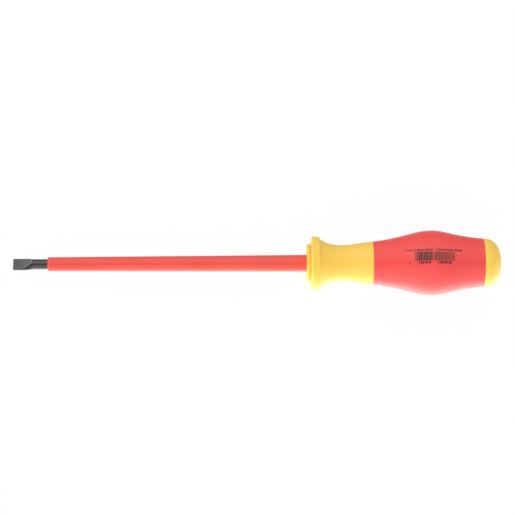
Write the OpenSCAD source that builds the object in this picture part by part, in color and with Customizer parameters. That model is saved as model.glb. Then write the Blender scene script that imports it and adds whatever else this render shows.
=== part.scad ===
// Insulated slotted screwdriver.
// The tool lies along +X, with the end of its blade at the origin and +Z up.
// Its steel blade runs through a moulded sleeve into a handle of two plastics:
// a hard core, and a grip that is moulded over the core and flush with it.

/* [Blade] */
// Width of the blade at its tip
blade_w = 6.5; // [6:0.1:7]
// Thickness of the blade at its tip
blade_t = 1.2; // [1:0.1:1.4]
// Length of the two parallel flats
flat_len = 4.7; // [3.5:0.1:6]
// Length of the ground ramps between the flats and the round bar
ramp_len = 4.9; // [4:0.1:6]
// Length over which the wide tip narrows to the round bar
flare_len = 5.7; // [5:0.1:6.5]
// Diameter of the round bar
bar_d = 5.3; // [5:0.1:5.5]
// Length of bar inside the handle
tang_len = 72; // [68:1:76]
// Turn of the blade about the tool's axis, from +Z towards +Y
blade_roll = 40; // [0:1:90]
// Turn of the slanted shoulders from the sides of the blade
shoulder_turn = 40; // [30:1:50]

/* [Tang wings] */
// Width over the two wings that stop the bar from turning in the handle
wing_w = 9; // [7:0.5:10]
// Thickness of the wings
wing_t = 1.8; // [1.2:0.1:2.4]
// Length of the wings
wing_len = 14; // [10:1:18]

/* [Sleeve] */
// Length of the blade from its tip to the handle
shank_len = 150; // [125:5:200]
// Length of bare steel in front of the sleeve
bare_len = 17.6; // [15:0.1:25]
// Diameter of the sleeve at its front end
sleeve_front_d = 7.3; // [7:0.1:8]
// Diameter of the sleeve where it enters the handle
sleeve_rear_d = 8.7; // [8.1:0.1:9]
// Rounding of the sleeve's front edge
sleeve_round = 0.8; // [0.4:0.1:1]
// Length of sleeve inside the handle
sleeve_root = 27; // [22:1:30]
// Diameter of the collars that anchor the sleeve in the handle
anchor_d = 11.2; // [10:0.2:12]
// Width of each collar
anchor_w = 3; // [2:0.5:4]

/* [Handle] */
// Length of the handle
handle_len = 100; // [98:1:104]
// Diameter of the ring at the handle's nose
nose_d = 19.5; // [18:0.1:20]
// Diameter of the guard flange
flange_d = 27.4; // [26.5:0.1:29]
// Diameter of the neck behind the flange
neck_d = 18.4; // [17.8:0.1:19]
// Diameter of the handle where the grip begins
front_joint_d = 22.1; // [21.5:0.1:23]
// Diameter of the handle's belly
belly_d = 33.2; // [32:0.2:34]
// Diameter of the handle where the grip ends
rear_joint_d = 24.8; // [23.5:0.1:25.5]
// Squareness of the butt's dome, where 2 is an ellipse
dome_power = 2.3; // [2:0.1:3]

/* [Grip] */
// Thickness of the grip over the core
grip_t = 2.8; // [2.4:0.1:3.2]
// Number of ribs that lock the grip to the core
rib_n = 6; // [4:1:8]
// Width of each rib
rib_w = 3; // [2:0.5:4]
// Height of each rib
rib_h = 1.2; // [0.8:0.1:1.4]
// Bevel on each side of the two joint lines
joint_bevel = 0.2; // [0.1:0.05:0.3]

/* [Printed panel] */
// Length of the block of bars
print_len = 20.4; // [16:0.1:24]
// Height of the block of bars
print_h = 4.6; // [4:0.1:6]
// Turn of the panel about the tool's axis, from +Z towards +Y
print_roll = 12.6; // [-30:0.1:30]
// Thickness of the ink
ink_t = 0.05; // [0.05:0.01:0.1]

/* [Hidden] */
$fn = 64;
overlap = 1;

// Distances from the handle's nose
ring_end = 1.9;
flange_front = 2.35;
flange_rear = 6.6;
shoulder_x = 8.5;
neck_x = 17.8;
front_joint_x = 34;
rise_x = 54;
belly_x = 64.3;
fall_x = 72;
rear_joint_x = handle_len - 9.2;

bar_r = bar_d / 2;
nose_r = nose_d / 2;
flange_r = flange_d / 2;
wing_x = shank_len + 44;
print_x = shank_len + belly_x + 0.3;

// Point on a cubic that leaves a and reaches b, each [x, radius, slope]
function cubic(a, b, t) =
    let (len = b[0] - a[0], u = 1 - t)
    [a[0] + len * t,
     (1 + 2 * t) * u * u * a[1] + t * u * u * len * a[2]
     + t * t * (3 - 2 * t) * b[1] - t * t * u * len * b[2]];

// Points along the cubics through a list of knots
function through(knots, steps = 6) = concat(
    [for (i = [0 : len(knots) - 2], k = [0 : steps - 1])
        cubic(knots[i], knots[i + 1], k / steps)],
    [[knots[len(knots) - 1][0], knots[len(knots) - 1][1]]]);

// Points on an arc about a centre, from one angle to another
function arc(centre, r, from, to, steps = 5) =
    [for (k = [0 : steps])
        let (a = from + (to - from) * k / steps)
        centre + r * [cos(a), sin(a)]];

// Outline of the nose and the guard flange, up to the neck's first knot
function nose_points() = concat(
    arc([0.6, nose_r - 0.6], 0.6, 180, 90, 3),
    [[ring_end - 0.2, nose_r], [ring_end, nose_r - 0.5], [ring_end + 0.2, nose_r + 0.2]],
    arc([flange_front + 0.7, flange_r - 0.7], 0.7, 165, 90, 4),
    arc([flange_rear - 0.6, flange_r - 0.5], 0.5, 90, 35, 3));

// Outline of the neck, from behind the flange to the front joint
function neck_points() = through([
    [flange_rear, flange_r - 0.7, -1.4],
    [shoulder_x, neck_d / 2 + 2.25, -0.56],
    [shoulder_x + 3.1, neck_d / 2 + 0.9, -0.32],
    [neck_x, neck_d / 2, 0],
    [neck_x + 6.6, neck_d / 2 + 0.63, 0.18],
    [front_joint_x, front_joint_d / 2, 0.12]], 5);

// Outline of the grip between its two joints
function grip_points() = through([
    [front_joint_x, front_joint_d / 2, 0.12],
    [front_joint_x + 11.8, front_joint_d / 2 + 2, 0.23],
    [rise_x, belly_d / 2 - 1.5, 0.28],
    [belly_x, belly_d / 2, 0],
    [fall_x, belly_d / 2 - 1.1, -0.27],
    [fall_x + 10, belly_d / 2 - 3.1, -0.17],
    [rear_joint_x, rear_joint_d / 2, -0.09]], 5);

// Outline of the butt's dome, from the rear joint to the axis
function dome_points(steps = 12) =
    let (len = handle_len - rear_joint_x, r = rear_joint_d / 2)
    [for (k = [0 : steps])
        let (a = 90 * k / steps)
        [rear_joint_x + len * pow(sin(a), 2 / dome_power), r * pow(cos(a), 2 / dome_power)]];

// The same outline at another distance from the axis
function shifted(points, by) = [for (p = points) [p[0], p[1] + by]];

// Solid of revolution about the tool's axis, from an outline in handle distances
module turned(points) {
    translate([shank_len, 0, 0])
        rotate([0, 90, 0])
            rotate_extrude()
                polygon([for (p = points) [p[1], p[0]]]);
}

// Closes an outline along the axis
function closed(points) = concat(
    [[points[0][0], 0]], points, [[points[len(points) - 1][0], 0]]);

// Turns what it holds about the tool's axis, from +Z towards +Y
module rolled(angle) {
    rotate([-angle, 0, 0])
        children();
}

// Round bar that swells towards its tip, before the tip is ground
module bar_blank() {
    swell_r = norm([blade_w, blade_t]) / 2 + 0.05;
    outline = concat([[0, swell_r]],
        through([
            [flat_len + 0.2, swell_r, -0.05],
            [flat_len + 3.3, bar_r + 0.28, -0.16],
            [flat_len + flare_len, bar_r, 0]]),
        [[shank_len + tang_len - 1, bar_r], [shank_len + tang_len, bar_r - 1]]);
    translate([-shank_len, 0, 0])
        turned(closed(outline));
}

// What the grinding takes off above the blade: a flat, and a ramp that runs out of the bar
module ground_away() {
    slope = (bar_r - blade_t / 2) / ramp_len;
    run = 10;
    rotate([90, 0, 0])
        linear_extrude(height = 2 * blade_w, center = true)
            polygon([
                [-overlap, blade_t / 2], [flat_len, blade_t / 2],
                [flat_len + run, blade_t / 2 + slope * run],
                [flat_len + run, blade_w], [-overlap, blade_w]]);
}

// What is taken off beside the blade: its flat side, and a slanted shoulder above and below
module side_away() {
    half_w = blade_w / 2;
    corner = norm([blade_w, blade_t]) / 2;
    reach = corner * cos(shoulder_turn - atan(blade_t / blade_w)) + 0.04;
    low = (reach - half_w * cos(shoulder_turn)) / sin(shoulder_turn);
    high = corner + 0.2;
    top_w = (reach - high * sin(shoulder_turn)) / cos(shoulder_turn);
    translate([-overlap, 0, 0])
        rotate([90, 0, 90])
            linear_extrude(height = flat_len + flare_len + overlap)
                polygon([
                    [top_w, high], [half_w, low], [half_w, -low], [top_w, -high],
                    [blade_w, -high], [blade_w, high]]);
}

// Two wings pressed out of the bar, which lock it in the handle
module wings() {
    ramp = 2.5;
    root = 0.8 * bar_r;
    half = [[0, root], [ramp, wing_w / 2], [wing_len - ramp, wing_w / 2], [wing_len, root]];
    translate([wing_x, 0, 0])
        linear_extrude(height = wing_t, center = true)
            polygon(concat(half, [for (i = [3 : -1 : 0]) [half[i][0], -half[i][1]]]));
}

// Bar with its wings, at the blade's own turn
module blade_solid() {
    rolled(blade_roll) {
        difference() {
            bar_blank();
            for (side = [0, 1]) {
                mirror([0, 0, side])
                    ground_away();
                mirror([0, side, 0])
                    side_away();
            }
        }
        wings();
    }
}

// Outer shape of the sleeve, with the collars that anchor it in the handle
module sleeve_solid() {
    front_r = sleeve_front_d / 2;
    rear_r = sleeve_rear_d / 2;
    front = arc([sleeve_round, front_r - sleeve_round], sleeve_round, 180, 90, 6);
    translate([bare_len - shank_len, 0, 0])
        turned(closed(concat(front, [
            [shank_len - bare_len, rear_r],
            [shank_len - bare_len + sleeve_root, rear_r]])));
    for (x = [8, 18])
        translate([shank_len + x, 0, 0])
            rotate([0, 90, 0])
                cylinder(d = anchor_d, h = anchor_w);
}

// Ribs along the core, shaped to stay inside the grip
module ribs() {
    inner = shifted(grip_points(), rib_h - grip_t);
    ends = [inner[0], inner[len(inner) - 1]];
    limit = concat([ends[0] - [overlap, 0]], inner, [ends[1] + [overlap, 0]]);
    intersection() {
        turned(closed(limit));
        for (i = [0 : rib_n - 1])
            rotate([360 * i / rib_n, 0, 0])
                translate([shank_len, -rib_w / 2, 0])
                    cube([handle_len, rib_w, belly_d]);
    }
}

// Steel bar with a ground slotted tip
module blade() {
    color([0.42, 0.41, 0.4])
        blade_solid();
}

// Insulating sleeve over the bar
module shank_sleeve() {
    color([0.9, 0.16, 0.1])
        difference() {
            sleeve_solid();
            translate([bare_len - overlap, 0, 0])
                rotate([0, 90, 0])
                    cylinder(d = bar_d, h = shank_len);
        }
}

// Hard core: nose, flange and neck, a ribbed spine under the grip, and the butt
module handle_core() {
    neck = neck_points();
    dome = dome_points();
    spine = shifted(grip_points(), -grip_t);
    front_r = front_joint_d / 2;
    rear_r = rear_joint_d / 2;
    outline = concat(
        nose_points(),
        [for (i = [0 : len(neck) - 2]) neck[i]],
        [[front_joint_x - joint_bevel, front_r], [front_joint_x, front_r - joint_bevel]],
        spine,
        [[rear_joint_x, rear_r - joint_bevel], [rear_joint_x + joint_bevel, rear_r]],
        [for (i = [1 : len(dome) - 1]) dome[i]]);
    color([1, 0.78, 0.2])
        difference() {
            union() {
                turned(closed(outline));
                ribs();
            }
            sleeve_solid();
            blade_solid();
        }
}

// Grip moulded over the spine, between the neck and the butt
module grip_shell() {
    outer = grip_points();
    last = len(outer) - 1;
    inner = shifted(outer, -grip_t);
    outline = concat(
        [[outer[0][0], outer[0][1] - joint_bevel], outer[0] + [joint_bevel, 0]],
        [for (i = [1 : last - 1]) outer[i]],
        [outer[last] - [joint_bevel, 0], [outer[last][0], outer[last][1] - joint_bevel]],
        [for (i = [last : -1 : 0]) inner[i]]);
    color([0.93, 0.2, 0.17])
        difference() {
            turned(outline);
            ribs();
        }
}

// Block of plain bars between rows of dashes, as ink on the grip
module grip_print() {
    outer = grip_points();
    last = len(outer) - 1;
    bar_n = 24;
    pitch = print_len / bar_n;
    dash_pitch = 2;
    // Rows of dashes: start along the tool, number of dashes, and side of the block
    rows = [[-15, 14, 1], [-8, 3, -1], [2, 3, -1]];
    color([0.12, 0.08, 0.08])
        intersection() {
            turned(concat(outer, [for (i = [last : -1 : 0]) outer[i] + [0, ink_t]]));
            rolled(print_roll)
                translate([print_x, 0, 0]) {
                    for (i = [0 : bar_n - 1])
                        translate([(i - bar_n / 2) * pitch, -print_h / 2, 0])
                            cube([pitch * (0.3 + 0.15 * (i % 3)), print_h, belly_d]);
                    for (row = rows, i = [0 : row[1] - 1])
                        translate([row[0] + i * dash_pitch, row[2] * (print_h / 2 + 0.75) - 0.3, 0])
                            cube([0.7 * dash_pitch, 0.6, belly_d]);
                }
        }
}

blade();
shank_sleeve();
handle_core();
grip_shell();
grip_print();
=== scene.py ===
"""Looks of the insulated slotted screwdriver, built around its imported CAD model.

The tool lies along +X with the end of its blade at the origin, and its printed panel faces +Z.
Lengths are in metres, and the small sizes of the design are given as a number times MM.
"""

import math

import bpy
import numpy as np
from mathutils import Matrix, Vector


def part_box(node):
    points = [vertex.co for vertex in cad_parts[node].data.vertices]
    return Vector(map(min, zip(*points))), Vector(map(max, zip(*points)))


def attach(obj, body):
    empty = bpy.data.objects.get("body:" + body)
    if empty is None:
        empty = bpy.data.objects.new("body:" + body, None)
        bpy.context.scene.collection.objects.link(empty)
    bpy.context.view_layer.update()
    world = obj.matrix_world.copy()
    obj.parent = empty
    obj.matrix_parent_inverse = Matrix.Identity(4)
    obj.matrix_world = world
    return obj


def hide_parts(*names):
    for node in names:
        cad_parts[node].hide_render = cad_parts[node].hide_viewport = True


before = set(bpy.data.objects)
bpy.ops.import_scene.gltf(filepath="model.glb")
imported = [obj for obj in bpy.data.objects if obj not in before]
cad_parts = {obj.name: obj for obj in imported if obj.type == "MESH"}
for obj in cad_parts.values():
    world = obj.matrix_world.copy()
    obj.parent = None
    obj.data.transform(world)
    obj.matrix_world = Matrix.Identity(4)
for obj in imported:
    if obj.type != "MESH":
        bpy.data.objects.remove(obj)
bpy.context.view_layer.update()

MM = 0.001
TAU = 2 * math.pi

# ---------------------------------------------------------------- sizes, from the frame where it has them

CORE_LOW, CORE_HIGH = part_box("handle_core")
GRIP_LOW, GRIP_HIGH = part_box("grip_shell")
SLEEVE_LOW, SLEEVE_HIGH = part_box("shank_sleeve")
BLADE_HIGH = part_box("blade")[1]

NOSE_X = CORE_LOW.x
BUTT_X = CORE_HIGH.x
FRONT_JOINT_X = GRIP_LOW.x
REAR_JOINT_X = GRIP_HIGH.x
BELLY_R = GRIP_HIGH.y
SLEEVE_X = SLEEVE_LOW.x
SLEEVE_END_X = SLEEVE_HIGH.x
ANCHOR_R = SLEEVE_HIGH.y
BAR_END_X = BLADE_HIGH.x

BLADE_HALF_W = 3.25 * MM
BLADE_HALF_T = 0.6 * MM
FLAT_END_X = 4.7 * MM
RAMP_LEN = 4.9 * MM
FLARE_END_X = 10.4 * MM
BAR_R = 2.65 * MM
CORNER_R = math.hypot(BLADE_HALF_W, BLADE_HALF_T)
SWELL_R = CORNER_R + 0.05 * MM
SHOULDER_TURN = math.radians(40)
SHOULDER_R = CORNER_R * math.cos(SHOULDER_TURN - math.atan(BLADE_HALF_T / BLADE_HALF_W)) + 0.04 * MM
BLADE_ROLL = math.radians(40)
WING_X = NOSE_X + 44 * MM
WING_LEN = 14 * MM
WING_HALF_W = 4.5 * MM
WING_HALF_T = 0.9 * MM

SLEEVE_FRONT_R = 3.65 * MM
SLEEVE_REAR_R = 4.35 * MM
SLEEVE_ROUND = 0.8 * MM
COLLAR_XS = (NOSE_X + 8 * MM, NOSE_X + 18 * MM)
COLLAR_LEN = 3 * MM

NOSE_R = 9.75 * MM
RIM_R = 13.7 * MM
NECK_START_X = NOSE_X + 6.6 * MM
NECK_R = 9.2 * MM
FRONT_JOINT_R = 11.05 * MM
REAR_JOINT_R = 12.4 * MM
GRIP_T = 2.8 * MM
DOME_POWER = 2.3


# ---------------------------------------------------------------- curves

def curve_through(knots):
    """Radius as a function of x, along cubics through knots of [x, radius, slope], as in the design."""
    knots = np.array(knots, float)

    def radius(x):
        x = np.asarray(x, float)
        i = np.clip(np.searchsorted(knots[:, 0], x) - 1, 0, len(knots) - 2)
        a, b = knots[i], knots[i + 1]
        length = b[..., 0] - a[..., 0]
        t = np.clip((x - a[..., 0]) / length, 0, 1)
        u = 1 - t
        start = (1 + 2 * t) * u * u * a[..., 1] + t * u * u * length * a[..., 2]
        end = t * t * (3 - 2 * t) * b[..., 1] - t * t * u * length * b[..., 2]
        return start + end

    return radius


grip_radius = curve_through([
    [FRONT_JOINT_X, FRONT_JOINT_R, 0.12],
    [FRONT_JOINT_X + 11.8 * MM, FRONT_JOINT_R + 2 * MM, 0.23],
    [NOSE_X + 54 * MM, BELLY_R - 1.5 * MM, 0.28],
    [NOSE_X + 64.3 * MM, BELLY_R, 0],
    [NOSE_X + 72 * MM, BELLY_R - 1.1 * MM, -0.27],
    [NOSE_X + 82 * MM, BELLY_R - 3.1 * MM, -0.17],
    [REAR_JOINT_X, REAR_JOINT_R, -0.09],
])

neck_radius = curve_through([
    [NECK_START_X, RIM_R - 0.7 * MM, -1.4],
    [NOSE_X + 8.5 * MM, NECK_R + 2.25 * MM, -0.56],
    [NOSE_X + 11.6 * MM, NECK_R + 0.9 * MM, -0.32],
    [NOSE_X + 17.8 * MM, NECK_R, 0],
    [NOSE_X + 24.4 * MM, NECK_R + 0.63 * MM, 0.18],
    [FRONT_JOINT_X, FRONT_JOINT_R, 0.12],
])

bar_radius = curve_through([
    [FLAT_END_X + 0.2 * MM, SWELL_R, -0.05],
    [FLAT_END_X + 3.3 * MM, BAR_R + 0.28 * MM, -0.16],
    [FLARE_END_X, BAR_R, 0],
])


def arc(cx, cr, r, start, end, steps):
    """Outline points on an arc about (cx, cr), from one angle to another in degrees."""
    angles = np.radians(np.linspace(start, end, steps + 1))
    return [(cx + r * math.cos(a), cr + r * math.sin(a)) for a in angles]


def along(radius, x0, x1, steps):
    """Outline points along a radius function."""
    return [(x, float(radius(x))) for x in np.linspace(x0, x1, steps + 1)]


# ---------------------------------------------------------------- mesh building

AROUND = 192  # points in every ring, a multiple of 4 and of the number of ribs


def new_piece(name, verts, faces, smooth_angle=35):
    """Mesh object with smooth shading, and sharp edges where faces meet at more than smooth_angle."""
    mesh = bpy.data.meshes.new(name)
    mesh.from_pydata([tuple(v) for v in verts], [], faces)
    mesh.validate()
    mesh.shade_smooth()
    mesh.set_sharp_from_angle(angle=math.radians(smooth_angle))
    piece = bpy.data.objects.new(name, mesh)
    bpy.context.scene.collection.objects.link(piece)
    return piece


def ring(x, radii, angles=None):
    """Points round the tool's axis at x. Angle 0 points along +Y, and angles grow towards +Z."""
    if angles is None:
        angles = np.linspace(0, TAU, AROUND, endpoint=False)
    radii = np.broadcast_to(radii, len(angles))
    return np.stack([np.full(len(angles), x), radii * np.cos(angles), radii * np.sin(angles)], 1)


def turned(outline):
    """Rings of a solid of revolution, one for each point of its outline."""
    return [ring(x, r) for x, r in outline]


def skin(name, rings, closed=False, smooth_angle=35):
    """Solid through rings of AROUND points. A closed one joins its last ring to its first, and any
    other is closed at both ends by a point on the axis."""
    verts = np.concatenate(rings)
    faces = []
    rows = len(rings)
    for row in range(rows if closed else rows - 1):
        a = row * AROUND
        b = (row + 1) % rows * AROUND
        for k in range(AROUND):
            n = (k + 1) % AROUND
            faces.append((a + k, a + n, b + n, b + k))
    if not closed:
        first, last = len(verts), len(verts) + 1
        ends = [(rings[0][0][0], 0, 0), (rings[-1][0][0], 0, 0)]
        verts = np.concatenate([verts, ends])
        a = (rows - 1) * AROUND
        for k in range(AROUND):
            n = (k + 1) % AROUND
            faces += [(first, n, k), (last, a + k, a + n)]
    return new_piece(name, verts, faces, smooth_angle)


def eased_steps(a, b, n):
    """n values from a towards b, close together at both ends, without b itself."""
    return [a + (b - a) * (0.5 - 0.5 * math.cos(math.pi * k / n)) for k in range(n)]


# ---------------------------------------------------------------- materials

class Shader:
    """Short ways to add and join shader nodes of one material."""

    def __init__(self, name):
        self.material = bpy.data.materials.new(name)
        self.material.use_nodes = True
        self.tree = self.material.node_tree
        self.bsdf = self.tree.nodes["Principled BSDF"]
        self.place = self.tree.nodes.new("ShaderNodeTexCoord").outputs["Object"]

    def node(self, kind, values=None, **settings):
        made = self.tree.nodes.new(kind)
        for key, value in settings.items():
            setattr(made, key, value)
        for key, value in (values or {}).items():
            self.feed(made.inputs[key], value)
        return made

    def feed(self, socket, value):
        if isinstance(value, bpy.types.NodeSocket):
            self.tree.links.new(value, socket)
        else:
            socket.default_value = value

    def stretched(self, scale, turn=0.0):
        """Object coordinates turned about the tool's axis and scaled."""
        return self.node("ShaderNodeMapping", {
            "Vector": self.place, "Rotation": (turn, 0, 0), "Scale": scale}).outputs["Vector"]

    def noise(self, scale, vector=None, detail=2.0, roughness=0.5):
        return self.node("ShaderNodeTexNoise", {
            "Vector": vector or self.place, "Scale": scale, "Detail": detail,
            "Roughness": roughness}).outputs["Fac"]

    def ramp(self, value, low, high, to_low=0.0, to_high=1.0):
        """Moves value from the range low..high to another range, and clamps it there."""
        return self.node("ShaderNodeMapRange", {
            "Value": value, "From Min": low, "From Max": high,
            "To Min": to_low, "To Max": to_high}).outputs["Result"]

    def mix(self, fac, a, b):
        """Mixes two colours. The mix node keeps its sockets for colours at these places."""
        made = self.node("ShaderNodeMix", data_type="RGBA")
        for place, value in ((0, fac), (6, a), (7, b)):
            self.feed(made.inputs[place], value)
        return made.outputs[2]

    def math(self, operation, a, b):
        return self.node("ShaderNodeMath", {0: a, 1: b}, operation=operation).outputs[0]

    def along_tool(self):
        """Distance from the tip."""
        return self.node("ShaderNodeSeparateXYZ", {"Vector": self.place}).outputs["X"]

    def bump(self, height, distance, strength=1.0, normal=None):
        values = {"Height": height, "Distance": distance, "Strength": strength}
        if normal is not None:
            values["Normal"] = normal
        return self.node("ShaderNodeBump", values).outputs["Normal"]

    def set(self, **values):
        """Feeds the shader's own sockets, whose names have spaces for underscores."""
        for key, value in values.items():
            self.feed(self.bsdf.inputs[key.replace("_", " ")], value)


GLINT_NAME = "ramp_edge_glint"  # painted highlight: how strongly each point of the blade is painted brighter


def rgb(r, g, b):
    return (r, g, b, 1.0)


def plastic(name, colour, deep, roughness):
    """Smooth moulded plastic: faint clouds of colour, a fine skin, and handling marks in the gloss."""
    s = Shader(name)
    clouds = s.ramp(s.noise(90, detail=3), 0.35, 0.65)
    skin = s.noise(2600, detail=2)
    smudges = s.noise(240, s.stretched((0.45, 1, 1)), detail=4, roughness=0.6)
    scratches = s.ramp(s.noise(900, s.stretched((0.08, 1, 1)), detail=3), 0.62, 0.72)
    gloss = s.ramp(smudges, 0.35, 0.7, roughness - 0.04, roughness + 0.07)
    s.set(
        Base_Color=s.mix(clouds, colour, deep),
        Roughness=s.math("ADD", gloss, s.math("MULTIPLY", scratches, 0.06)),
        IOR=1.46,
        Normal=s.bump(scratches, 0.004 * MM, 0.5, s.bump(skin, 0.006 * MM, 0.5)),
    )
    return s.material


def burnished_bar():
    """Dark oxide on the steel bar with streaks along it from drawing, and painted shade darkening it near
    the tip.
    """
    s = Shader("burnished_bar")
    # painted shade: 0 up to 8 mm from the tip, where the steel is painted darker, and 1 from 10.5 mm on
    out_of_tip_shade = s.ramp(s.along_tool(), 8 * MM, 10.5 * MM)
    streaks = s.noise(1500, s.stretched((0.06, 1, 1)), detail=4, roughness=0.65)
    mottle = s.noise(700, detail=4, roughness=0.7)
    blend = s.math("ADD", s.math("MULTIPLY", streaks, 0.6), s.math("MULTIPLY", mottle, 0.4))
    tone = s.ramp(blend, 0.35, 0.65)
    s.set(
        Base_Color=s.mix(
            out_of_tip_shade,
            s.mix(tone, rgb(0.032, 0.03, 0.029), rgb(0.052, 0.049, 0.047)),
            s.mix(tone, rgb(0.068, 0.062, 0.058), rgb(0.118, 0.110, 0.104))),
        Roughness=s.ramp(streaks, 0.3, 0.7, 0.20, 0.34),
        Metallic=1.0,
        Normal=s.bump(streaks, 0.01 * MM, 0.35),
    )
    return s.material


def ground_steel():
    """Steel as the grinding wheel left it, with fine marks across the blade. The ramps are painted brighter
    than the flats as painted light, and a painted highlight runs along their edges where they run out of
    the bar."""
    s = Shader("ground_steel")
    marks = s.noise(900, s.stretched((14, 0.5, 0.5), BLADE_ROLL), detail=3, roughness=0.7)
    stain = s.noise(500, detail=3)
    # painted highlight: strength of the glint painted along the ramps' edges
    wear_and_glint = s.node("ShaderNodeAttribute", attribute_name=GLINT_NAME).outputs["Fac"]
    cloud = s.ramp(stain, 0.35, 0.65)
    # painted light: the flats take a darker colour and the ramps a brighter one, for the way each faces the
    # light
    shaded_flat = s.mix(cloud, rgb(0.118, 0.114, 0.111), rgb(0.145, 0.140, 0.136))
    slope = s.mix(cloud, rgb(0.142, 0.131, 0.129), rgb(0.178, 0.166, 0.163))
    lit_ramp = s.ramp(s.along_tool(), FLAT_END_X - 0.4 * MM, FLAT_END_X + 0.3 * MM)
    # painted highlight: the bright steel colour is mixed in where the glint strength is high
    s.set(
        Base_Color=s.mix(wear_and_glint, s.mix(lit_ramp, shaded_flat, slope), rgb(0.27, 0.262, 0.25)),
        Roughness=s.ramp(marks, 0.3, 0.7, 0.36, 0.52),
        Metallic=1.0,
        Normal=s.bump(marks, 0.012 * MM, 0.45),
    )
    return s.material


def ink():
    """Thin dull black ink that lets a little of the red show at its worn spots."""
    s = Shader("print_ink")
    wear_and_glint = s.ramp(s.noise(2200, detail=3), 0.58, 0.78)
    s.set(
        Base_Color=s.mix(wear_and_glint, rgb(0.02, 0.013, 0.013), rgb(0.14, 0.026, 0.026)),
        Roughness=s.ramp(wear_and_glint, 0, 1, 0.5, 0.62),
    )
    return s.material


RED_GRIP = plastic("red_grip", rgb(0.87, 0.071, 0.066), rgb(0.84, 0.066, 0.060), 0.38)
YELLOW_CORE = plastic("yellow_core", rgb(0.94, 0.605, 0.088), rgb(0.92, 0.585, 0.082), 0.40)
RED_SLEEVE = plastic("red_sleeve", rgb(0.85, 0.087, 0.062), rgb(0.82, 0.08, 0.056), 0.32)
BURNISHED = burnished_bar()
GROUND = ground_steel()
INK = ink()


# ---------------------------------------------------------------- blade

EDGE_POWER = 90               # how tight the rounding is where two faces meet
SIDE_STEPS = 10               # points on a quarter of a ring up to the end of the blade's side
SHOULDER_STEPS = 16           # and from there to the ground face
LEAST_STEP = math.radians(1)  # least angle that either of those takes up
LEAD_LEN = 4 * MM             # length of bar over which the rings turn from the tip's edges to the wings'
GLINT_REACH = 0.35 * MM        # width of the painted highlight at the ground ramp's edge
GLINT_START = 1.2 * MM         # length over which the painted highlight fades in behind the flats
WING_RAMP = 2.5 * MM
WING_ROOT = 0.8 * BAR_R
WING_SIDE = math.atan2(WING_HALF_T, WING_HALF_W)
WING_TOP = math.asin(WING_HALF_T / BAR_R)
TINY = 1e-6
QUARTER = np.linspace(0, math.pi / 2, 1441)
SIDE_LIMIT, GROUND_LIMIT = 0, 1  # rows of blade_limits


def in_wings(x):
    return WING_X <= x <= WING_X + WING_LEN


def ramp_height(x):
    """Distance of the ground faces from the blade's middle plane."""
    return BLADE_HALF_T + max(0, x - FLAT_END_X) * (BAR_R - BLADE_HALF_T) / RAMP_LEN


def blade_limits(x, angles):
    """Distances from the axis to the blade's side, its ground face, its shoulder and the bar it is made
    from, one row each. Angle 0 points along the blade's width."""
    across = np.maximum(np.abs(np.cos(angles)), TINY)
    above = np.maximum(np.abs(np.sin(angles)), TINY)
    slanted = across * math.cos(SHOULDER_TURN) + above * math.sin(SHOULDER_TURN)
    round_bar = np.full(len(angles), float(bar_radius(x)))
    if x > FLARE_END_X:
        return round_bar[None]
    return np.stack([BLADE_HALF_W / across, ramp_height(x) / above, SHOULDER_R / slanted, round_bar])


def wing_radius(x, angles):
    """Distance from the axis to the outline of the two wings."""
    grow = min(1, (x - WING_X) / WING_RAMP, (WING_X + WING_LEN - x) / WING_RAMP)
    wide = WING_ROOT + (WING_HALF_W - WING_ROOT) * grow
    beside = wide / np.maximum(np.abs(np.cos(angles)), TINY)
    above = WING_HALF_T / np.maximum(np.abs(np.sin(angles)), TINY)
    return np.minimum(beside, above)


def blade_radius(x, angles):
    """Distance from the axis to the blade's surface, with its edges eased."""
    eased = np.sum(blade_limits(x, angles) ** -EDGE_POWER, 0) ** (-1 / EDGE_POWER)
    if in_wings(x):
        eased = np.maximum(eased, wing_radius(x, angles))
    return eased


def run_out_glint(x, angles):
    """Strength of the painted highlight on the ground ramp at each angle: 1 at its edge, and 0 away from it
    and on the flats.
    """
    if x >= FLARE_END_X:
        return np.zeros(len(angles))
    limits = blade_limits(x, angles)
    others = np.delete(limits, GROUND_LIMIT, 0).min(0)
    near_edge = np.exp(-((others - limits[GROUND_LIMIT]) / GLINT_REACH) ** 2)
    return near_edge * np.clip((x - FLAT_END_X) / GLINT_START, 0, 1)


def blade_edges(x):
    """Angles at which the blade's side ends and its ground face begins. They change little from one ring
    to the next, and on the round bar they lead over to those of the wings."""
    faces = blade_limits(min(x, FLARE_END_X), QUARTER).argmin(0)
    side = max(QUARTER[np.argmax(faces != SIDE_LIMIT)], LEAST_STEP)
    on_ground = faces == GROUND_LIMIT
    ground = QUARTER[np.argmax(on_ground)] if on_ground.any() else math.pi / 2
    ground = min(max(ground, side + 0.5 * LEAST_STEP), math.pi / 2 - LEAST_STEP)
    lead = min(max((x - FLARE_END_X) / LEAD_LEN, 0), 1)
    return side + (WING_SIDE - side) * lead, ground + (WING_TOP - ground) * lead


def blade_angles(x):
    """Angles round the blade at x, from the middle of its side, close together at its edges."""
    side, ground = blade_edges(x)
    quarter = np.concatenate([
        eased_steps(0, side, SIDE_STEPS),
        eased_steps(side, ground, SHOULDER_STEPS),
        eased_steps(ground, math.pi / 2, AROUND // 4 - SIDE_STEPS - SHOULDER_STEPS)])
    mirrored = np.concatenate([[math.pi / 2], math.pi - quarter[:0:-1]])
    return np.concatenate([quarter, mirrored, math.pi + quarter, math.pi + mirrored])


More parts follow.
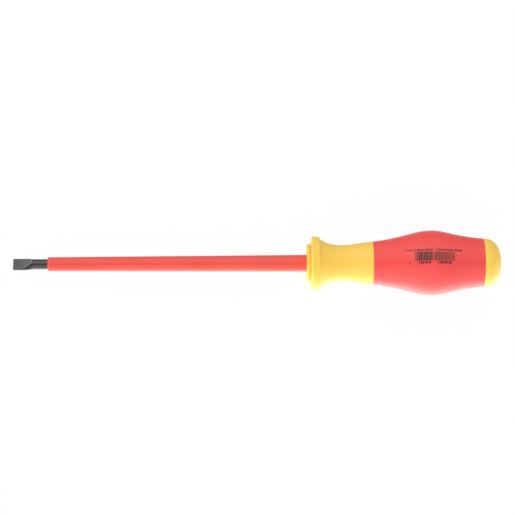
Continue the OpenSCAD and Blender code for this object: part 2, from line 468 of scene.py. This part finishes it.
def make_blade():
    """Bar with its ground tip and its two wings: dark steel, and brighter steel on the ground faces."""
    stations = np.concatenate([
        [0, 0.02 * MM, 0.05 * MM, 0.1 * MM, 0.2 * MM],
        np.arange(0.6, 4.4, 0.4) * MM,
        np.arange(4.5, 15.0, 0.12) * MM,
        np.linspace(15.2 * MM, WING_X - 0.5 * MM, 12),
        np.linspace(WING_X, WING_X + WING_LEN, 29),
        [WING_X + WING_LEN + 0.5 * MM, BAR_END_X - 1 * MM, BAR_END_X],
    ])
    shrink = np.zeros(len(stations))
    shrink[:3] = [0.06 * MM, 0.03 * MM, 0.01 * MM]  # the eased edge of the end face
    shrink[-1] = 1 * MM                             # the bevel on the hidden end of the bar
    rings, glint = [], []
    for x, less in zip(stations, shrink):
        angles = blade_angles(x)
        rings.append(ring(x, blade_radius(x, angles) - less, angles - BLADE_ROLL))
        glint += list(run_out_glint(x, angles))
    piece = skin("blade_steel", rings, smooth_angle=25)
    end_points = [0.0, 0.0]
    # painted highlight: each point's glint strength goes on the mesh, for the ground steel to read
    wear_and_glint = piece.data.attributes.new(GLINT_NAME, "FLOAT", "POINT")
    wear_and_glint.data.foreach_set("value", glint + end_points)
    piece.data.materials.append(BURNISHED)
    piece.data.materials.append(GROUND)
    thickness_axis = np.array([0, math.sin(BLADE_ROLL), math.cos(BLADE_ROLL)])
    for face in piece.data.polygons:
        x = face.center.x
        height = abs(float(thickness_axis @ np.array(face.center)))
        on_end = x < 0.08 * MM
        on_ground = x < FLARE_END_X and height > ramp_height(x) - 0.04 * MM
        if on_end or on_ground:
            face.material_index = 1
    return piece


# ---------------------------------------------------------------- sleeve

def make_sleeve():
    """Tapered insulation with a rounded front edge, and collars on its root inside the handle."""
    r = SLEEVE_FRONT_R
    lip = 0.15 * MM
    outline = [(SLEEVE_X + lip, BAR_R), (SLEEVE_X, BAR_R + lip)]
    outline += arc(SLEEVE_X + SLEEVE_ROUND, r - SLEEVE_ROUND, SLEEVE_ROUND, 180, 90, 8)
    outline += [(x, r + (SLEEVE_REAR_R - r) * (x - SLEEVE_X) / (NOSE_X - SLEEVE_X))
                for x in np.linspace(SLEEVE_X + 1.5 * SLEEVE_ROUND, NOSE_X, 40)]
    for x in COLLAR_XS:
        outline += [(x, SLEEVE_REAR_R), (x, ANCHOR_R),
                    (x + COLLAR_LEN, ANCHOR_R), (x + COLLAR_LEN, SLEEVE_REAR_R)]
    outline += [(SLEEVE_END_X, SLEEVE_REAR_R), (SLEEVE_END_X, BAR_R)]
    piece = skin("sleeve_moulding", turned(outline), closed=True)
    piece.data.materials.append(RED_SLEEVE)
    return piece


# ---------------------------------------------------------------- handle

JOINT_EASE = 0.28 * MM
NOSE_ROUND = 0.45 * MM
RING_END_X = NOSE_X + 1.9 * MM
RIM_FRONT_ROUND = 0.7 * MM
RIM_REAR_ROUND = 0.5 * MM
RIM_START_X = NOSE_X + 3.05 * MM
RIM_END_X = NOSE_X + 6.0 * MM
ENTRY_BEVEL = 0.25 * MM
RIBS = 6
RIB_HALF_W = 1.5 * MM
RIB_H = 1.2 * MM
MOULD_GAP = 0.01 * MM  # keeps the grip's inside just clear of the spine
SPINE_XS = np.linspace(FRONT_JOINT_X, REAR_JOINT_X, 60)


def spine_ring(x, gap=0.0):
    """Ring round the ribbed spine at x, grown by a gap. A third of its points are on the ribs."""
    low = float(grip_radius(x)) - GRIP_T + gap
    high = low + RIB_H
    sector = AROUND // RIBS
    on_rib = sector // 3
    top = math.asin((RIB_HALF_W + gap) / high)
    foot = math.asin((RIB_HALF_W + gap) / low)
    turn = TAU / RIBS
    angles = np.concatenate([
        np.linspace(-top, top, on_rib),
        np.linspace(foot, turn - foot, sector - on_rib)])
    radii = np.concatenate([np.full(on_rib, high), np.full(sector - on_rib, low)])
    angles = np.concatenate([angles + turn * k for k in range(RIBS)])
    return ring(x, np.tile(radii, RIBS), angles)


def make_core():
    """Core: nose ring, guard flange, neck, ribbed spine and butt, with the bore for sleeve and bar."""
    bore = [(BAR_END_X, BAR_R), (SLEEVE_END_X, BAR_R), (SLEEVE_END_X, SLEEVE_REAR_R)]
    for x in COLLAR_XS[::-1]:
        bore += [(x + COLLAR_LEN, SLEEVE_REAR_R), (x + COLLAR_LEN, ANCHOR_R),
                 (x, ANCHOR_R), (x, SLEEVE_REAR_R)]
    bore += [(NOSE_X + ENTRY_BEVEL, SLEEVE_REAR_R + 0.02 * MM), (NOSE_X, SLEEVE_REAR_R + ENTRY_BEVEL)]

    nose = arc(NOSE_X + NOSE_ROUND, NOSE_R - NOSE_ROUND, NOSE_ROUND, 180, 90, 8)
    groove = [(-0.25, 0), (-0.08, -0.08), (0, -0.5), (0.1, -0.1), (0.2, 0.3)]
    nose += [(RING_END_X + x * MM, NOSE_R + r * MM) for x, r in groove]
    flange = arc(RIM_START_X, RIM_R - RIM_FRONT_ROUND, RIM_FRONT_ROUND, 165, 93, 10)
    flange += [(NOSE_X + x * MM, RIM_R) for x in (3.2, 4.0, 4.8, 5.7)]
    flange += arc(RIM_END_X, RIM_R - RIM_REAR_ROUND, RIM_REAR_ROUND, 87, 35, 8)
    neck = along(neck_radius, NECK_START_X, FRONT_JOINT_X - JOINT_EASE, 90)
    neck += arc(FRONT_JOINT_X - JOINT_EASE, FRONT_JOINT_R - JOINT_EASE, JOINT_EASE, 80, 0, 5)
    front = turned(bore + nose + flange + neck)

    spine = [spine_ring(x) for x in SPINE_XS]

    dome_len = BUTT_X - REAR_JOINT_X
    dome = arc(REAR_JOINT_X + JOINT_EASE, REAR_JOINT_R - JOINT_EASE, JOINT_EASE, 180, 100, 5)
    turns = np.radians(np.linspace(6, 89.7, 60))
    dome += [(REAR_JOINT_X + dome_len * math.sin(a) ** (2 / DOME_POWER),
              REAR_JOINT_R * math.cos(a) ** (2 / DOME_POWER)) for a in turns]
    piece = skin("core_moulding", front + spine + turned(dome))
    piece.data.materials.append(YELLOW_CORE)
    return piece


def make_grip():
    """Grip between its two joint lines, with grooves inside for the core's ribs."""
    outline = arc(FRONT_JOINT_X + JOINT_EASE, FRONT_JOINT_R - JOINT_EASE, JOINT_EASE, 180, 95, 5)
    outline += along(
        grip_radius, FRONT_JOINT_X + 1.5 * JOINT_EASE, REAR_JOINT_X - 1.5 * JOINT_EASE, 150)
    outline += arc(REAR_JOINT_X - JOINT_EASE, REAR_JOINT_R - JOINT_EASE, JOINT_EASE, 85, 0, 5)
    inside = [spine_ring(x, MOULD_GAP) for x in SPINE_XS[::-1]]
    piece = skin("grip_moulding", turned(outline) + inside, closed=True)
    piece.data.materials.append(RED_GRIP)
    return piece


# ---------------------------------------------------------------- printed panel

PRINT_X = NOSE_X + 64.6 * MM
PRINT_LEN = 20.4 * MM
PRINT_HALF_H = 2.3 * MM
PRINT_ROLL = math.radians(12.6)
INK_T = 0.03 * MM
PATCH_STEP_X = 0.5 * MM
PATCH_STEP_Y = 0.7 * MM
# Width of each bar and of the gap after it, in units that make up the block's length
BARS = (
    (1, 1.2), (1, 1.5), (2, 1), (3, 0.7), (3.5, 0.8), (2, 0.8), (3, 0.9), (3.5, 0.7), (2, 1),
    (3.2, 0.9), (2.5, 1.6), (1, 1.8), (2, 1.2), (1.5, 1), (2, 1.6), (2, 1.1), (2.5, 1.4), (1.5, 1.3),
    (2, 1.2), (1.5, 1.4), (2.2, 1.5), (1, 1.1), (1.5, 1.4), (2, 1.3), (1, 1.5), (1.5, 1.2), (1, 0))
DASH_PITCH = 1.07 * MM
DASH_FILL = (0.5, 0.8, 0.6, 0.72)
# Each row of dashes: where it starts, how many, its middle and half its height. Lengths are in mm, from the
# middle of the panel.
DASH_ROWS = (
    (-14.9, 4, 3.3, 0.32), (-10.2, 9, 3.25, 0.55), (0.6, 13, 3.25, 0.5),
    (-13.0, 1, -3.2, 0.5), (-8.4, 6, -3.2, 0.62), (1.5, 7, -3.2, 0.62))


def ink_patch(verts, faces, x0, x1, y0, y1):
    """Adds one closed patch of ink that follows the grip, from x0 to x1 along it and y0 to y1 across."""
    nx = max(2, 1 + int((x1 - x0) / PATCH_STEP_X))
    ny = max(2, 1 + int((y1 - y0) / PATCH_STEP_Y))
    first = len(verts)
    for lift in (INK_T, -INK_T):
        for x in np.linspace(x0, x1, nx):
            r = float(grip_radius(x))
            for y in np.linspace(y0, y1, ny):
                a = math.asin(y / r) + PRINT_ROLL
                verts.append((x, (r + lift) * math.sin(a), (r + lift) * math.cos(a)))

    def top(i, j):
        return first + i * ny + j

    def under(i, j):
        return top(i, j) + nx * ny

    for i in range(nx - 1):
        for j in range(ny - 1):
            faces.append((top(i, j), top(i + 1, j), top(i + 1, j + 1), top(i, j + 1)))
            faces.append((under(i, j), under(i, j + 1), under(i + 1, j + 1), under(i + 1, j)))
    last_i = nx - 1
    last_j = ny - 1
    for i in range(last_i):
        faces.append((top(i, 0), under(i, 0), under(i + 1, 0), top(i + 1, 0)))
        faces.append((top(i, last_j), top(i + 1, last_j), under(i + 1, last_j), under(i, last_j)))
    for j in range(last_j):
        faces.append((top(0, j), top(0, j + 1), under(0, j + 1), under(0, j)))
        faces.append((top(last_i, j), under(last_i, j), under(last_i, j + 1), top(last_i, j + 1)))


def make_print():
    """Plain bars in a made-up order, between rows of dashes."""
    verts, faces = [], []
    unit = PRINT_LEN / sum(width + gap for width, gap in BARS)
    x = PRINT_X - PRINT_LEN / 2
    for width, gap in BARS:
        ink_patch(verts, faces, x, x + width * unit, -PRINT_HALF_H, PRINT_HALF_H)
        x += (width + gap) * unit
    for start, count, y, half in DASH_ROWS:
        for i in range(count):
            x = PRINT_X + start * MM + i * DASH_PITCH
            width = DASH_FILL[i % len(DASH_FILL)] * DASH_PITCH
            ink_patch(verts, faces, x, x + width, (y - half) * MM, (y + half) * MM)
    piece = new_piece("print_panel", verts, faces)
    piece.data.materials.append(INK)
    return piece


# ---------------------------------------------------------------- the object's pieces

PIECES = [
    (make_blade, "blade", "blade_steel"),
    (make_sleeve, "shank_sleeve", "sleeve_red"),
    (make_core, "handle_core", "core_yellow"),
    (make_grip, "grip_shell", "grip_red"),
    (make_print, "grip_print", "print_ink"),
]
for make, node, slot in PIECES:
    piece = make()
    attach(piece, "root")
    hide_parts(node)


# ---------------------------------------------------------------- floor

RIM_X = NOSE_X + 5.5 * MM
GRIP_XS = np.linspace(FRONT_JOINT_X, REAR_JOINT_X, 400)
LEAN = float(np.max((grip_radius(GRIP_XS) - RIM_R) / (GRIP_XS - RIM_X)))
FLOOR_HALF = 8.0
FLOOR_WHITE = 0.04
FLOOR_GLOW = 0.958


def make_floor():
    """White surface that the tool lies on, touching it under the flange and under the belly.
    It glows a little, and lets the light from all round reach the tool."""
    corners = [(x, y, -(RIM_R + LEAN * (x - RIM_X)))
               for x in (-FLOOR_HALF, FLOOR_HALF) for y in (-FLOOR_HALF, FLOOR_HALF)]
    mesh = bpy.data.meshes.new("floor")
    mesh.from_pydata(corners, [], [(0, 2, 3, 1)])
    floor = bpy.data.objects.new("floor", mesh)
    bpy.context.scene.collection.objects.link(floor)
    s = Shader("floor_white")
    s.set(
        Base_Color=rgb(FLOOR_WHITE, FLOOR_WHITE, FLOOR_WHITE),
        Roughness=0.9,
        Specular_IOR_Level=0.0,
        Emission_Color=rgb(1, 1, 1),
        Emission_Strength=FLOOR_GLOW,
    )
    floor.data.materials.append(s.material)
    floor.visible_diffuse = False
    floor.visible_glossy = False
    floor.visible_shadow = False


make_floor()


# ---------------------------------------------------------------- light

# Brightness of the studio round the tool's axis. The angle is 0 overhead, 90 level with the tool
# on its -Y side, and -90 level with it on its +Y side.
STUDIO = (
    (-180, 0.9), (-125, 0.4), (-85, 0.9), (-50, 1.6), (-24, 1.2), (0, 0.12),
    (24, 1.2), (50, 1.3), (78, 1.6), (100, 2.5), (125, 3.9), (150, 2.8), (180, 0.9))
STUDIO_TOP = 4.0
STUDIO_SLOPE = 0.3  # how much brighter it is towards the tip, and dimmer towards the butt


def make_studio():
    """Soft light in long bands beside the tool, dim overhead, and plain white where the camera sees it.
    A direction's angle round the tool picks the band, and its X makes the light slope along the tool."""
    world = bpy.data.worlds.new("studio")
    bpy.context.scene.world = world
    world.use_nodes = True
    tree = world.node_tree
    new, link = tree.nodes.new, tree.links.new
    way = new("ShaderNodeSeparateXYZ")
    link(new("ShaderNodeTexCoord").outputs["Generated"], way.inputs[0])
    side = new("ShaderNodeMath")
    side.operation = "MULTIPLY"
    side.inputs[1].default_value = -1
    link(way.outputs["Y"], side.inputs[0])
    angle = new("ShaderNodeMath")
    angle.operation = "ARCTAN2"
    link(side.outputs[0], angle.inputs[0])
    link(way.outputs["Z"], angle.inputs[1])
    place = new("ShaderNodeMapRange")
    place.inputs["From Min"].default_value = -math.pi
    place.inputs["From Max"].default_value = math.pi
    link(angle.outputs[0], place.inputs["Value"])
    bands = new("ShaderNodeValToRGB")
    bands.color_ramp.interpolation = "EASE"
    stops = bands.color_ramp.elements
    stops.remove(stops[1])
    for i, (degrees, light) in enumerate(STUDIO):
        position = (degrees + 180) / 360
        stop = stops[0] if i == 0 else stops.new(position)
        stop.position = position
        stop.color = rgb(light / STUDIO_TOP, light / STUDIO_TOP, light / STUDIO_TOP)
    link(place.outputs["Result"], bands.inputs[0])
    studio = tree.nodes["Background"]
    slope = new("ShaderNodeMapRange")
    slope.inputs["From Min"].default_value = -1
    slope.inputs["To Min"].default_value = STUDIO_TOP * (1 + STUDIO_SLOPE)
    slope.inputs["To Max"].default_value = STUDIO_TOP * (1 - STUDIO_SLOPE)
    link(way.outputs["X"], slope.inputs["Value"])
    link(slope.outputs["Result"], studio.inputs["Strength"])
    link(bands.outputs["Color"], studio.inputs["Color"])
    white = new("ShaderNodeBackground")
    white.inputs["Color"].default_value = rgb(1, 1, 1)
    pick = new("ShaderNodeMixShader")
    link(new("ShaderNodeLightPath").outputs["Is Camera Ray"], pick.inputs[0])
    link(studio.outputs[0], pick.inputs[1])
    link(white.outputs[0], pick.inputs[2])
    link(pick.outputs[0], tree.nodes["World Output"].inputs["Surface"])


make_studio()
bpy.context.scene.view_settings.view_transform = "Standard"


# ---------------------------------------------------------------- camera

SENSOR_WIDTH = 36
VIEW_WIDTH = 263.85 * MM
CAMERA_PLACE = Vector((90 * MM, 3.09 * MM, 1300 * MM))
CAMERA_AIM = Vector((124.9 * MM, 3.09 * MM, 0))
CAMERA_TURN = math.radians(-0.225)

camera_data = bpy.data.cameras.new("camera")
camera_data.sensor_width = SENSOR_WIDTH
camera_data.lens = SENSOR_WIDTH * (CAMERA_PLACE - CAMERA_AIM).length / VIEW_WIDTH
camera_data.clip_start = 0.01
camera = bpy.data.objects.new("camera", camera_data)
camera.location = CAMERA_PLACE
camera_lean = math.atan2(CAMERA_AIM.x - CAMERA_PLACE.x, CAMERA_PLACE.z)
lean_then_turn = Matrix.Rotation(-camera_lean, 3, "Y") @ Matrix.Rotation(CAMERA_TURN, 3, "Z")
camera.rotation_euler = lean_then_turn.to_euler()
bpy.context.scene.collection.objects.link(camera)
bpy.context.scene.camera = camera
